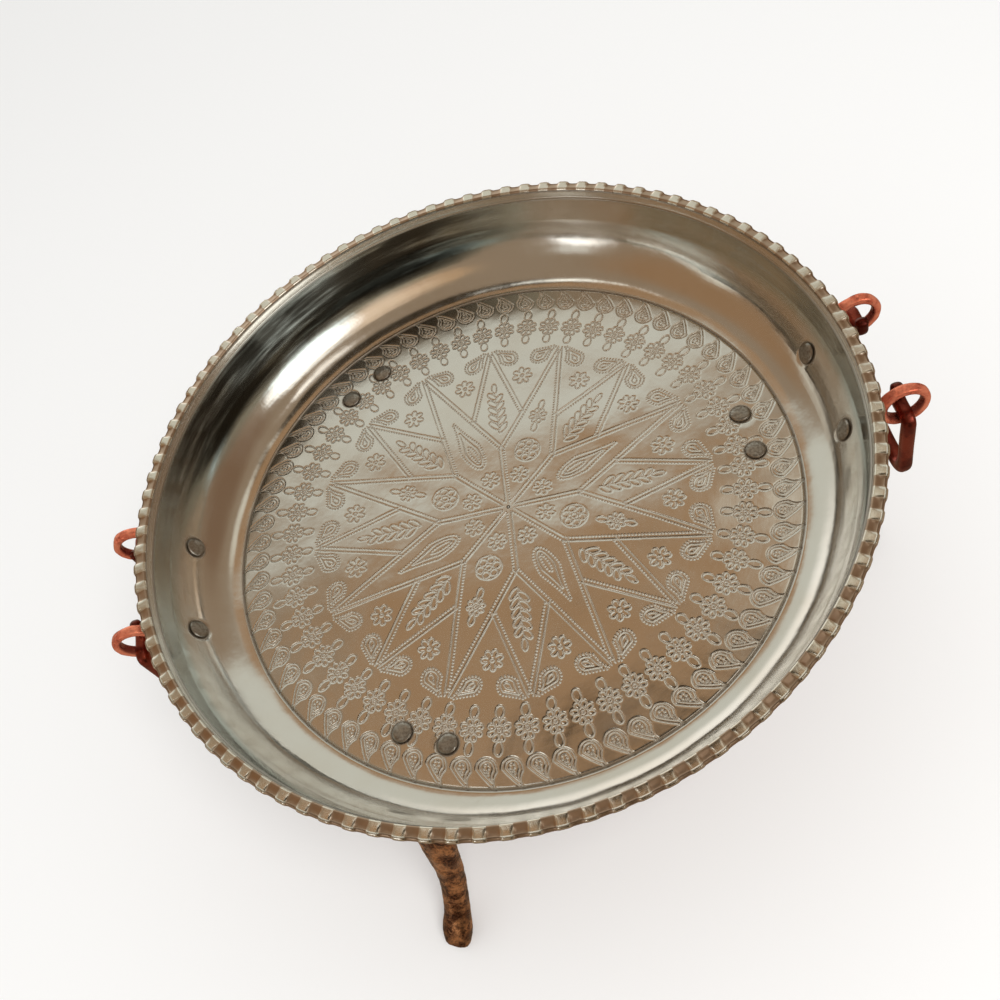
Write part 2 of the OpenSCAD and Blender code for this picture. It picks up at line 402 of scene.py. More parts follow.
def rivet_material():
    """Peened rivet heads, tinned and dulled, with painted shade round the foot of each head."""
    s = Shader("peened_rivet")
    s.set(Metallic=1.0)
    spots = s.noise(900, 4, 0.6)
    base = s.mix(s.band(spots, 0.35, 0.7), (0.50, 0.49, 0.46), (0.30, 0.27, 0.24))
    # painted shade round the foot of each head
    s.link(s.mix(s.attribute("grime"), base, (0.10, 0.085, 0.07)), "Base Color")
    s.link(s.band(spots, 0.2, 0.8, 0.26, 0.44), "Roughness")
    s.link(s.bump(s.noise(600, 3), 0.08 * MM), "Normal")
    return s.material


# ---- chased pattern
class Chasing:
    """Distance from each point of the floor to the nearest chased line, in mm."""

    REACH = 1.6

    def __init__(self, x, y):
        self.x, self.y = x / MM, y / MM
        self.gap = np.full(len(x), 9.0)
        self.run = np.zeros(len(x))
        self.bead = np.zeros(len(x))

    def stroke(self, points, beaded=False, closed=False):
        """Chases a line through points (in mm); beaded lines are ticked along."""
        points = np.asarray(points, float)
        if closed:
            points = np.vstack([points, points[:1]])
        low, high = points.min(0) - self.REACH, points.max(0) + self.REACH
        near = np.flatnonzero((self.x > low[0]) & (self.x < high[0])
                              & (self.y > low[1]) & (self.y < high[1]))
        if not len(near):
            return
        spots = np.column_stack([self.x[near], self.y[near]])
        start, way = points[:-1], np.diff(points, axis=0)
        length = np.hypot(way[:, 0], way[:, 1])
        before = np.concatenate([[0], np.cumsum(length)[:-1]])
        best = np.full(len(near), 9.0)
        along = np.zeros(len(near))
        for a, w, n, done in zip(start, way, length, before):
            if n < 1e-9:
                continue
            t = np.clip(((spots - a) @ w) / (n * n), 0, 1)
            gap = np.hypot(*(spots - a - t[:, None] * w).T)
            closer = gap < best
            best[closer] = gap[closer]
            along[closer] = (done + t * n)[closer]
        win = best < self.gap[near]
        hit = near[win]
        self.gap[hit] = best[win]
        self.run[hit] = along[win]
        self.bead[hit] = 1.0 if beaded else 0.0




def polar(radius, angle):
    """Point in mm on the floor, with the radius as a share of the star's."""
    return radius * STAR_R / MM * toward(angle)


def toward(angle):
    return np.array([math.cos(angle), math.sin(angle)])


def placed(shape, centre, angle, mirror=False):
    """Moves a shape drawn along +X to centre, turned to angle."""
    shape = np.asarray(shape, float) * [1, -1 if mirror else 1]
    c, s = math.cos(angle), math.sin(angle)
    return shape @ np.array([[c, s], [-s, c]]) + centre


def loop_shape(length, width, steps=18):
    """A pointed oval leaf, from the origin outwards."""
    t = np.linspace(0, TAU, steps, endpoint=False)
    x = length / 2 * (1 - np.cos(t))
    return np.column_stack([x, width / 2 * np.sin(t) * (0.75 + 0.25 * np.sin(t / 2))])


def blossom_shape(radius, petals, dip=0.38, steps=8):
    """Wavy outline of a small flower."""
    t = np.linspace(0, TAU, petals * steps, endpoint=False)
    r = radius * (1 - dip * (1 - np.abs(np.cos(petals * t / 2)) ** 0.7))
    return np.column_stack([r * np.cos(t), r * np.sin(t)])


def paisley_shape(length, width, curl, steps=30):
    """A drop from a round bulb at the origin's side to a curled tail at +X."""
    t = (1 - np.cos(np.linspace(0, math.pi, steps))) / 2
    spine = np.column_stack([length * t, curl * t ** 2.8])
    belly = 0.42
    half = width / 2 * np.sqrt(np.clip(1 - (t / belly - 1) ** 2, 0, 1))
    far = np.clip((t - belly) / (1 - belly), 0, 1)
    half = np.where(t > belly, width / 2 * (0.10 + 0.90 * (1 - far) ** 1.35) * (far < 1), half)
    upper = spine + np.column_stack([np.zeros(steps), half])
    lower = spine - np.column_stack([np.zeros(steps), half])
    return np.vstack([upper, lower[::-1][1:-1]])


def double_line(chasing, start, end, gap=1.8, flip=False):
    """A plain line and a ticked line side by side."""
    way = (end - start) / np.linalg.norm(end - start)
    side = np.array([-way[1], way[0]]) * (gap / 2) * (-1 if flip else 1)
    chasing.stroke([start + side, end + side])
    chasing.stroke([start - side, end - side], beaded=True)


def flower(chasing, centre, angle, radius):
    """Small open flower: one wavy outline round a punched ring."""
    chasing.stroke(placed(blossom_shape(radius, 7, 0.52), centre, angle), closed=True)
    chasing.stroke(placed(circle_shape(radius * 0.16, 8), centre, angle), closed=True)


def petal_flower(chasing, centre, angle, radius):
    """Flower of eight petal loops round a punched ring."""
    petal = loop_shape(radius * 0.66, radius * 0.50, 12)
    for turn in angle + np.arange(8) * TAU / 8:
        chasing.stroke(placed(petal, centre + 0.36 * radius * toward(turn), turn), closed=True)
    chasing.stroke(placed(circle_shape(radius * 0.17, 8), centre, angle), closed=True)


def rosette(chasing, centre, angle):
    """Round medallion: ring, six petals and a middle circle."""
    chasing.stroke(placed(circle_shape(5.6, 30), centre, 0), closed=True)
    for turn in angle + np.arange(6) * TAU / 6:
        chasing.stroke(placed(circle_shape(1.55, 12), centre + 3.5 * toward(turn), turn),
                       closed=True)
    chasing.stroke(placed(circle_shape(1.2, 10), centre, 0), closed=True)


def paisley(chasing, root, angle, length, width, curl, ticked, mirror=False):
    """Paisley drop: outline, inner outline and a punched core."""
    outer = paisley_shape(length, width, curl)
    inner = outer * [0.70, 0.66] + [length * 0.085, curl * 0.03]
    core = outer * [0.34, 0.24] + [length * 0.21, curl * 0.04]
    for shape, beaded in ((outer, ticked), (inner, False), (core, not ticked)):
        chasing.stroke(placed(shape, root, angle, mirror), beaded=beaded, closed=True)


def teardrop(chasing, root, angle, length, width):
    """Long ticked drop inside a main point of the star."""
    outer = paisley_shape(length, width, 0.0)
    inner = outer * [0.72, 0.62] + [length * 0.06, 0]
    core = loop_shape(length * 0.34, width * 0.26) + [length * 0.12, 0]
    for shape, beaded in ((outer, True), (inner, False), (core, True)):
        chasing.stroke(placed(shape, root, angle), beaded=beaded, closed=True)


def sprig(chasing, root, angle, length):
    """Leafy stem with five pairs of leaves and one at its tip."""
    way = toward(angle)
    for k in range(5):
        joint = root + way * length * (0.02 + 0.155 * k)
        leaf = loop_shape(length * 0.225 * (1 - 0.04 * k), length * 0.098, 14)
        for side in (-1, 1):
            along = joint + way * length * 0.035 * side
            chasing.stroke(placed(leaf, along, angle + side * 0.66), closed=True)
    tip = loop_shape(length * 0.2, length * 0.09, 14)
    chasing.stroke(placed(tip, root + way * length * 0.8, angle), closed=True)


def cross_flower(chasing, centre, azimuth, radius, reach, leaves, width):
    """Flower with a leaf towards the wall and one towards the middle."""
    petal_flower(chasing, centre, azimuth + TAU / 16, radius)
    for way, length in zip((azimuth, azimuth + math.pi), leaves):
        leaf = placed(loop_shape(length, width), centre + reach * toward(way), way)
        chasing.stroke(leaf, closed=True)


def chase_floor(chasing):
    """The whole pattern, from the middle outwards."""
    lesser_root, lesser_turn = 0.575, math.radians(13)
    for k in range(8):
        inner_az = STAR_TURN + k * SPOKE_STEP
        tip_az = inner_az + SPOKE_STEP / 2
        vertex = polar(STAR_INNER, inner_az)
        double_line(chasing, polar(0.03, inner_az), vertex)
        for side in (-1, 1):
            tip = polar(1.0, inner_az + side * SPOKE_STEP / 2)
            double_line(chasing, vertex, tip, flip=side > 0)
            foot = polar(lesser_root, inner_az + side * lesser_turn)
            double_line(chasing, foot, polar(1.0, inner_az), flip=side < 0)
            flower(chasing, polar(0.81, inner_az + side * SPOKE_STEP / 4), inner_az, 4.6)
        flower(chasing, polar(0.195, tip_az), tip_az, 4.0)
        if k % 2 == 1:
            rosette(chasing, polar(0.34, tip_az), tip_az)
            cross_flower(chasing, polar(0.55, tip_az), tip_az, 3.9, 3.3, (5.2, 5.2), 2.6)
        else:
            teardrop(chasing, polar(0.285, tip_az), tip_az, 29, 9)
        sprig(chasing, polar(0.46, inner_az), inner_az, 27.5)
    for azimuth in STAR_TURN + np.arange(16) * TAU / 16:
        for side in (-1, 1):
            bulb = polar(0.90, azimuth + side * math.radians(8.2))
            way = polar(1.015, azimuth + side * math.radians(2.6)) - bulb
            paisley(chasing, bulb, math.atan2(way[1], way[0]), 13, 8.4, 1.6, True, side > 0)
    flowers, drops = 57, 72
    for azimuth in STAR_TURN + (np.arange(flowers) + 0.5) * TAU / flowers:
        cross_flower(chasing, polar(1.14, azimuth), azimuth, 4.6, 4.4, (5.8, 5.2), 3.5)
    for azimuth in STAR_TURN + np.arange(drops) * TAU / drops:
        paisley(chasing, polar(1.265, azimuth), azimuth - 0.12, 11.4, 8.2, 5.4, False)


# ---- pan
def floor_rings():
    """Radii and point counts of the floor's rings, from the middle out."""
    rings = []
    count, low = SEGMENTS // 8, 0.8 * MM
    for high in (15 * MM, 30 * MM, 60 * MM, FLOOR_R - 1.2 * MM):
        steps = round((high - low) / FLOOR_RING_STEP)
        rings += [(r, count) for r in np.linspace(low, high, steps, endpoint=False)]
        low, count = high, count * 2
    return rings


def cove_point(t, run, height):
    return FLOOR_R + run * math.sin(t), FLOOR_TOP + COVE_H - height * math.cos(t)


def pan_profile():
    """Rings of the whole skin as (radius, height, count, zone)."""
    rings = [(r, FLOOR_TOP, n, "floor") for r, n in floor_rings()]

    def add(r, z, zone, count=SEGMENTS):
        rings.append((r, z, count, zone))

    # turned line where the floor meets the wall
    for offset, drop in ((-1.1, 0), (-0.7, 0.06), (-0.4, 0.32), (0, 0.42), (0.3, 0.3),
                         (0.6, -0.02), (0.9, 0.0)):
        add(FLOOR_R + offset * MM, FLOOR_TOP - drop * MM, "floor")
    # cove up to the strip under the rim
    for t in np.linspace(0.06, math.radians(66), 44):
        r, z = cove_point(t, COVE_RUN, COVE_H)
        if r > rings[-1][0]:
            add(r, z, "cove")
    r0, z0 = rings[-1][:2]
    # stepped strip: in from the rim's inner edge, down from its top, in mm
    strip = [(1.35, 5.6), (1.25, 5.2), (0.75, 5.05), (0.55, 4.6), (0.35, 2.4), (0.12, 1.35)]
    strip = [(RIM_INNER_R - inward * MM, RIM_TOP - down * MM) for inward, down in strip]
    for s in np.linspace(0, 1, 14)[1:-1]:
        add(r0 + (strip[0][0] - r0) * math.sin(s * math.pi / 2), z0 + (strip[0][1] - z0) * s,
            "cove")
    for r, z in strip:
        add(r, z, "strip")
    add(RIM_INNER_R + 0.1 * MM, RIM_TOP - 0.9 * MM, "rim")
    # crimped band, then round its edge and back under
    for s in np.linspace(0.06, 0.86, 9):
        add(RIM_INNER_R + s * RIM_BAND,
            RIM_TOP - (0.35 + 0.35 * s) * MM * (1 - s) - 0.25 * MM * s, "rim")
    for a in np.radians(np.linspace(75, -80, 8)):
        add(RIM_R - 1.1 * MM + 1.1 * MM * math.cos(a),
            RIM_TOP - 1.6 * MM + 1.35 * MM * math.sin(a), "rim")
    add(RIM_R - 2.6 * MM, RIM_TOP - RIM_H, "rim")
    # outside of the wall, from under the rim down to the underside
    count = SEGMENTS // 2
    for t in np.linspace(math.radians(89), 0.02, 52):
        r, z = cove_point(t, COVE_RUN + SHEET, COVE_H + SHEET)
        if z < RIM_TOP - RIM_H - 0.2 * MM:
            add(r, z, "outside", count)
    low = FLOOR_R - 1.2 * MM
    for edge in (60 * MM, 30 * MM, 1.2 * MM):
        for r in np.linspace(low, edge, round((low - edge) / (1.2 * MM)), endpoint=False):
            add(r, FLOOR_UNDER, "under", count)
        low, count = edge, count // 2
    return rings


def join_rings(first, n, second, m):
    """Faces between two rings whose counts are equal or differ by two times."""
    if n == m:
        i = np.arange(n)
        j = (i + 1) % n
        return np.column_stack([first + i, first + j, second + j, second + i]), []
    small, big, few = (first, second, n) if n < m else (second, first, m)
    i = np.arange(few)
    j = (i + 1) % few
    a, b, c = big + 2 * i, big + 2 * i + 1, big + (2 * i + 2) % (2 * few)
    fan = np.vstack([np.column_stack([small + i, b, a]), np.column_stack([small + i, small + j, b]),
                     np.column_stack([small + j, c, b])])
    return [], fan if n < m else fan[:, ::-1]


def wall_rivet_spots():
    """Origin and outward direction of each eyelet rivet, on the wall's inner face."""
    spots = []
    for side in (0, math.pi):
        for which in (-1, 1):
            az = side + which * EYE_AZ
            origin = np.array([EYE_RIVET_R * math.cos(az), EYE_RIVET_R * math.sin(az),
                               EYE_RIVET_Z])
            out = np.array([math.cos(EYE_TILT) * math.cos(az), math.cos(EYE_TILT) * math.sin(az),
                            -math.sin(EYE_TILT)])
            spots.append((origin, out))
    return spots


def floor_rivet_spots():
    names = [n for n in frame["nodes"] if n.startswith("foot_rivet")]
    return [(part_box(n)[0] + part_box(n)[1]) / 2 for n in sorted(names)]


def lay_out_skin():
    """Points of the pan's skin, ring by ring, with the zone of each."""
    rings = pan_profile()
    counts = [n for _, _, n, _ in rings]
    skin = SimpleNamespace(counts=counts, starts=np.concatenate([[0], np.cumsum(counts)]))
    skin.radius = np.repeat([r for r, _, _, _ in rings], counts)
    skin.height = np.repeat([z for _, z, _, _ in rings], counts)
    skin.zone = np.repeat([k for _, _, _, k in rings], counts)
    skin.angle = np.concatenate([np.arange(n) * TAU / n for n in counts])
    skin.x = skin.radius * np.cos(skin.angle)
    skin.y = skin.radius * np.sin(skin.angle)
    skin.z = skin.height.copy()
    skin.flat = np.column_stack([skin.x, skin.y, skin.z])
    skin.grime = np.zeros(len(skin.x))
    skin.floor, skin.rim = skin.zone == "floor", skin.zone == "rim"
    skin.inside = np.isin(skin.zone, ("floor", "cove"))
    skin.wall = np.isin(skin.zone, ("strip", "cove"))
    return skin


def draw_in(skin, depth):
    """Moves points towards the tray's axis."""
    scale = 1 - depth / np.maximum(skin.radius, MM)
    skin.x, skin.y = skin.x * scale, skin.y * scale


def add_painted_shade(skin, where, amount):
    skin.grime = np.where(where, np.maximum(skin.grime, amount), skin.grime)


def chase(skin):
    """Cuts the chased lines into the floor; beaded ones are rows of dimples."""
    chasing = Chasing(skin.x[skin.floor], skin.y[skin.floor])
    chase_floor(chasing)
    size = len(skin.x)
    skin.gap, skin.run, skin.bead = np.full(size, 9.0), np.zeros(size), np.zeros(size)
    for have, made in ((skin.gap, chasing.gap), (skin.run, chasing.run),
                       (skin.bead, chasing.bead)):
        have[skin.floor] = made
    along = ((skin.run / BEAD_STEP) % 1 - 0.5) * BEAD_STEP
    groove = 1 - smooth(0.05, 0.45, skin.gap)
    dimple = 1 - smooth(0.12, 0.62, np.hypot(skin.gap, along))
    skin.z -= CHASE_DEPTH * np.where(skin.bead > 0.5, dimple, groove)


def wave(skin):
    """Soft waves from the hammer and from use, none where a rivet stands on the floor."""
    lift = 0.17 * MM * ripple(skin.flat, 0.055, 3) + 0.05 * MM * ripple(skin.flat, 0.02, 4)
    for spot in floor_rivet_spots():
        lift *= smooth(5 * MM, 18 * MM, np.hypot(skin.x - spot.x, skin.y - spot.y))
    skin.z += np.where(skin.inside, lift, 0.0)


def spin(skin):
    """Faint spun rings in the cove, stronger in some places than in others."""
    level, angle = skin.height / MM, skin.angle
    rings = np.sin(level * 2.6 + 0.8 * np.sin(2 * angle)) * np.sin(level * 0.9)
    depth = 0.03 * MM * rings * (0.6 + 0.4 * np.sin(3 * angle + 1.3))
    draw_in(skin, np.where(skin.zone == "cove", depth, 0.0))


def crimp(skin):
    """Presses every other square of the rim down and in."""
    sharp = 2.6
    skin.press = 0.5 - 0.5 * np.tanh(sharp * np.sin(CRIMPS * skin.angle)) / math.tanh(sharp)
    across = np.clip((skin.radius - RIM_INNER_R) / RIM_BAND, 0, 1)
    pressed = np.where(skin.rim, skin.press * smooth(0.05, 0.75, across), 0.0)
    wobble = 1 + 0.15 * np.sin(7 * skin.angle + 1) + 0.1 * np.sin(23 * skin.angle)
    skin.z -= 0.75 * MM * pressed * wobble
    draw_in(skin, 0.55 * MM * pressed)


def planish(skin):
    """Hammer marks on the bare outside and underside, only ever dented inwards, with a mask of
    painted shade in each dent.
    """
    def struck(blows, keep):
        # the second mask is painted shade in the dent
        return np.clip(0.62 - blows, 0, 1) * keep, (1 - smooth(0.06, 0.42, blows)) * keep

    outward = np.clip((skin.radius - FLOOR_R) / (COVE_RUN + SHEET), 0, 1)
    slope = np.arcsin(outward)
    around = round(TAU * WALL_MID_R / BLOW_PITCH)
    blows = hammer_cells(skin.angle / TAU * around, slope * WALL_ARC / BLOW_PITCH, 11, around)
    keep = smooth(0.004, 0.010, RIM_TOP - skin.height) * smooth(0.02, 0.15, slope)
    dent, skin.hollow = struck(blows, np.where(skin.zone == "outside", keep, 0.0))
    draw_in(skin, 0.78 * MM * dent * outward)
    skin.z += 0.78 * MM * dent * np.cos(slope)
    blows = hammer_cells(skin.flat[:, 0] / (10 * MM), skin.flat[:, 1] / (10 * MM), 12)
    keep = 1 - smooth(FLOOR_R - 5 * MM, FLOOR_R - 1.5 * MM, skin.radius)
    dent, hollow = struck(blows, np.where(skin.zone == "under", keep, 0.0))
    skin.z += 0.6 * MM * dent
    skin.hollow += hollow


def seat_rivets(skin):
    """A coined flat and a dark ring of painted shade round each rivet; a slight sink on the floor.
    """
    points = skin.points = np.column_stack([skin.x, skin.y, skin.z])
    for origin, out in wall_rivet_spots():
        depth = (points - origin) @ out
        away = np.linalg.norm(points - origin - depth[:, None] * out, axis=1)
        close = (away < 7.5 * MM) & (skin.zone == "cove") & (np.abs(depth) < 5 * MM)
        lift = np.where(close, np.clip(-depth, 0, None), 0)
        lift *= 1 - smooth(4.5 * MM, 6 * MM, away)
        points += lift[:, None] * out
        # painted shade round the foot of each wall rivet's head
        ring = 1 - smooth(RIVET_HEAD_R + 0.2 * MM, RIVET_HEAD_R + 1.3 * MM, away)
        add_painted_shade(skin, close, 0.85 * ring)
    for spot in floor_rivet_spots():
        away = np.hypot(points[:, 0] - spot.x, points[:, 1] - spot.y)
        sink = 0.12 * MM * (1 - smooth(4 * MM, 8 * MM, away))
        points[:, 2] -= np.where(skin.floor, sink, 0)
        # painted shade round each floor rivet's head
        ring = 1 - smooth(RIVET_HEAD_R + 0.1 * MM, RIVET_HEAD_R + 1.1 * MM, away)
        add_painted_shade(skin, skin.floor, 0.85 * ring)


def paint_shade_and_reflection(skin):
    """Painted shade in the creases and under the rim's rolled edge, and painted reflection high on
    the wall.
    """
    # painted shade along the crease where the floor meets the wall
    add_painted_shade(skin, skin.inside, 0.7 * np.exp(-((skin.radius - FLOOR_R) / (0.55 * MM)) ** 2))
    # painted shade along the two creases of the strip under the rim
    for level in (RIM_TOP - 5.3 * MM, RIM_TOP - 1.2 * MM):
        add_painted_shade(skin, skin.wall, 0.6 * np.exp(-((skin.height - level) / (0.32 * MM)) ** 2))
    # painted shade under the rim's rolled edge
    add_painted_shade(skin, skin.rim, 0.8 * smooth(1.0 * MM, 2.2 * MM, RIM_TOP - skin.height))

    def facing(azimuth, core, fade):
        apart = np.abs((np.degrees(skin.angle) - azimuth + 180) % 360 - 180)
        return 1 - smooth(core, fade, apart)

    # painted reflection: darker and starting lower towards azimuth 122, where the wall reflects
    # dark surroundings, lighter round azimuth 62, where it reflects a highlight
    back, highlight_side = facing(122, 24, 58), facing(62, 5, 17)
    start, level = 127 - 8 * back, skin.height / MM
    dark = smooth(start, start + 10, level) * (0.55 + 0.43 * back - 0.45 * highlight_side)
    skin.tarnish = np.where(skin.wall | skin.rim, dark, 0.0)
    skin.tarnish *= 1 - 0.8 * smooth(147.8, 148.6, level)


def skin_mesh(skin):
    """Joins the rings and closes the two middles."""
    starts, counts = skin.starts, skin.counts
    quads, fans = [], []
    for k in range(len(counts) - 1):
        four, three = join_rings(starts[k], counts[k], starts[k + 1], counts[k + 1])
        quads += [four] if len(four) else []
        fans += [three] if len(three) else []
    first, last = np.arange(counts[0]), starts[-2] + np.arange(counts[-1])
    fans += [cap(len(skin.points), first), cap(len(skin.points) + 1, last, flip=True)]
    middles = [skin.points[first].mean(axis=0), skin.points[last].mean(axis=0)]
    quads, fans = np.vstack(quads)[:, ::-1], np.vstack(fans)[:, ::-1]
    return mesh_object("chased_pan", np.vstack([skin.points, *middles]), quads, fans)


def paint_by_zone(pan, zones):
    """Tin inside, crimped band on the rim, bare copper outside; zones has one per point."""
    slot_of = {"floor": 0, "cove": 0, "strip": 0, "rim": 1, "outside": 2, "under": 2}
    by_point = np.array([slot_of[k] for k in zones], np.int32)
    loops = np.empty(len(pan.data.loops), np.int32)
    pan.data.loops.foreach_get("vertex_index", loops)
    begin = np.empty(len(pan.data.polygons), np.int32)
    pan.data.polygons.foreach_get("loop_start", begin)
    pan.data.polygons.foreach_set("material_index", by_point[loops[begin]])
    for material in (tin_material(), rim_material(), PAN_COPPER):
        pan.data.materials.append(material)


def make_pan():
    """The pan's sheet, worked in the order a smith would."""
    skin = lay_out_skin()
    for step in (chase, wave, spin, crimp, planish, seat_rivets, paint_shade_and_reflection):
        step(skin)
    pan = skin_mesh(skin)
    for name, values, middle in (("chase_gap", skin.gap, 9), ("chase_run", skin.run, 0),
                                 ("chase_bead", skin.bead, 0), ("press", skin.press, 0),
                                 ("grime", skin.grime, 0), ("tarnish", skin.tarnish, 0),
                                 ("hollow", skin.hollow, 0)):
        add_attribute(pan, name, np.append(values, [middle, middle]))
    paint_by_zone(pan, np.append(skin.zone, ["floor", "under"]))
    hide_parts("tray_pan")
    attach(pan, "tray")


# ---- feet
KNEE_R = FLOOR_R - 7 * MM
TOE_R = 157 * MM
# distance out, drop below the floor, width, thickness, all in mm
FOOT_SECTIONS = np.array([
    (KNEE_R / MM - 3, 2.2, 25, 5),
    (KNEE_R / MM + 3.5, 8, 23.5, 6.5),
    (KNEE_R / MM + 10, 21, 21, 8),
    (KNEE_R / MM + 18, 46, 16.5, 9),
    (KNEE_R / MM + 24, 72, 12, 9.4),
    (KNEE_R / MM + 32, 90, 11, 9.6),
    (TOE_R / MM - 2.5, 102.5, 13.0, 11),
    (TOE_R / MM + 2.5, 108.5, 11.0, 8),
])


def spline(knots, steps):
    """Smooth curve through rows of numbers (Catmull-Rom)."""
    padded = np.vstack([2 * knots[0] - knots[1], knots, 2 * knots[-1] - knots[-2]])
    out = []
    for k in range(len(knots) - 1):
        p0, p1, p2, p3 = padded[k:k + 4]
        for t in np.linspace(0, 1, steps, endpoint=False):
            out.append(0.5 * (2 * p1 + (p2 - p0) * t + (2 * p0 - 5 * p1 + 4 * p2 - p3) * t * t
                              + (3 * p1 - p0 - 3 * p2 + p3) * t ** 3))
    out.append(knots[-1])
    return np.array(out)


def swept(points, across, width, thick, power, segments):
    """Skin round a line of points: a rounded section, width along `across` at each point."""
    points, across = np.asarray(points, float), np.asarray(across, float)
    way = np.gradient(points, axis=0)
    way /= np.linalg.norm(way, axis=1)[:, None]
    across = across - (across * way).sum(1)[:, None] * way
    across /= np.linalg.norm(across, axis=1)[:, None]
    up = np.cross(way, across)
    a = np.arange(segments) * TAU / segments
    u, v = (np.sign(k) * np.abs(k) ** (2 / power) for k in (np.cos(a), np.sin(a)))
    skin = (points[:, None] + across[:, None] * (u[None, :, None] * width[:, None, None] / 2)
            + up[:, None] * (v[None, :, None] * thick[:, None, None] / 2))
    verts = np.vstack([skin.reshape(-1, 3), points[0], points[-1]])
    return verts, *tube_faces(len(points), segments)


def slab(outline, low, high):
    """Flat plate from an outline of (x, y) points."""
    n = len(outline)
    verts = [(x, y, low) for x, y in outline] + [(x, y, high) for x, y in outline]
    verts += [(*np.mean(outline, 0), low), (*np.mean(outline, 0), high)]
    k = np.arange(n)
    tris = np.vstack([cap(2 * n, k, flip=True), cap(2 * n + 1, n + k)])
    return np.array(verts), grid_quads(2, n), tris


def joined(name, parts):
    """One object from several (points, quads, triangles) solids."""
    verts, quads, tris, base = [], [], [], 0
    for v, q, t in parts:
        verts.append(v)
        quads.append(np.asarray(q, int).reshape(-1, 4) + base)
        tris.append(np.asarray(t, int).reshape(-1, 3) + base)
        base += len(v)
    return mesh_object(name, np.vstack(verts), np.vstack(quads), np.vstack(tris))


def turned_about_z(points, angle):
    c, s = math.cos(angle), math.sin(angle)
    return points @ np.array([[c, s, 0], [-s, c, 0], [0, 0, 1]])


def plate_outline(half_gap, lobe, tongue):
    """Two lobes round the rivets and a tongue running out to the leg, in metres."""
    centre = 104 * MM
    points = arc(centre, half_gap, lobe, 90, 180, 9) + arc(centre, -half_gap, lobe, 180, 270, 9)
    points += [(centre + 3 * MM, -half_gap - lobe), (tongue, -12.4 * MM),
               (tongue, 12.4 * MM), (centre + 3 * MM, half_gap + lobe)]
    return points


def make_foot(name, node, azimuth):
    """Cast foot: riveted plate, spreading knee, slim ankle and rounded toe."""
    line = spline(FOOT_SECTIONS, 9)  # rows as in FOOT_SECTIONS, still in mm
    path = np.column_stack([line[:, 0], np.zeros(len(line)),
                            FLOOR_UNDER / MM - line[:, 1]]) * MM
    across = np.tile([0, 1.0, 0], (len(path), 1))
    leg = swept(path, across, line[:, 2] * MM, line[:, 3] * MM, 2.5, 36)
    plate = slab(plate_outline(9.7 * MM, 6.9 * MM, KNEE_R + 1 * MM),
                 FLOOR_UNDER - 3 * MM, FLOOR_UNDER - 0.05 * MM)
    foot = joined(name, [leg, plate])
    weld(foot, 0.75 * MM, 6)
    points, normals = read_vectors(foot), read_vectors(foot, "normal")
    texture = 0.16 * MM * ripple(points, 0.012, 21 + azimuth)
    texture += 0.05 * MM * ripple(points, 0.004, 31)
    # a low ridge down the front of the leg, as cast feet have
    drop = FLOOR_UNDER - points[:, 2]
    ridge = 0.7 * MM * np.exp(-(points[:, 1] / (2.2 * MM)) ** 2) * np.clip(normals[:, 0], 0, 1)
    ridge *= smooth(8 * MM, 25 * MM, drop) * (1 - smooth(88 * MM, 98 * MM, drop))
    points += normals * (texture + ridge)[:, None]
    points[:, 2] = np.clip(points[:, 2], 0, FLOOR_UNDER - 0.05 * MM)
    write_points(foot, turned_about_z(points, math.radians(azimuth)))
    # painted shade where the leg meets the tray's underside
    grime = 0.75 * (1 - smooth(2 * MM, 22 * MM, drop))
    # also darker towards the toe, in patches
    grime += 0.55 * smooth(80 * MM, 98 * MM, drop) * (0.5 + 0.5 * ripple(points, 0.009, 35, 5))
    add_attribute(foot, "grime", np.clip(grime, 0, 0.9))
    foot.data.materials.append(FOOT_COPPER)
    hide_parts(node)
    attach(foot, "tray")


# ---- rivets
def rivet_shape(grip, seed):
    """Peened rivet along Z: domed head above 0, shank, closed head below."""
    head_h, tail_r, tail_h, shank_r = 1.2, 3.3, 1.6, 2.0
    head = [(0, head_h), (1.4, head_h - 0.02), (2.6, head_h - 0.10), (3.4, head_h - 0.24),
            (3.9, head_h - 0.46), (4.12, head_h - 0.75), (4.15, 0.25), (4.08, 0.02),
            (shank_r, 0.0)]
    tail = [(shank_r, -grip), (tail_r, -grip), (tail_r, -grip - 0.5), (2.9, -grip - 1.05),
            (2.1, -grip - 1.4), (1.0, -grip - tail_h), (0, -grip - tail_h)]
    profile = np.array(head + tail) * MM
    m = 40
    a = np.arange(m) * TAU / m
    rings = [np.column_stack([r * np.cos(a), r * np.sin(a), np.full(m, z)])
             for r, z in profile[1:-1]]
    verts = np.vstack(rings + [[[0, 0, profile[0, 1]], [0, 0, profile[-1, 1]]]])
    quads, tris = tube_faces(len(rings), m)
    # hammer facets: each head is struck a little differently
    rng = np.random.default_rng(seed)
    edge = np.hypot(verts[:, 0], verts[:, 1])
    top = verts[:, 2] > 0.1 * MM
    verts[:, :2] *= (1 + 0.035 * ripple(verts, 0.006, seed) * (edge > 2.5 * MM))[:, None]
    for _ in range(3):
        lean, turn = rng.uniform(0.05, 0.11), rng.uniform(0, TAU)
        facet = (head_h - 0.03) * MM - 0.9 * lean * (verts[:, :2] @ toward(turn))
        struck = np.minimum(verts[:, 2], np.maximum(facet, 0.2 * MM))
        verts[:, 2] = np.where(top, struck, verts[:, 2])
    return verts, quads[:, [0, 3, 2, 1]], tris[:, [0, 2, 1]]


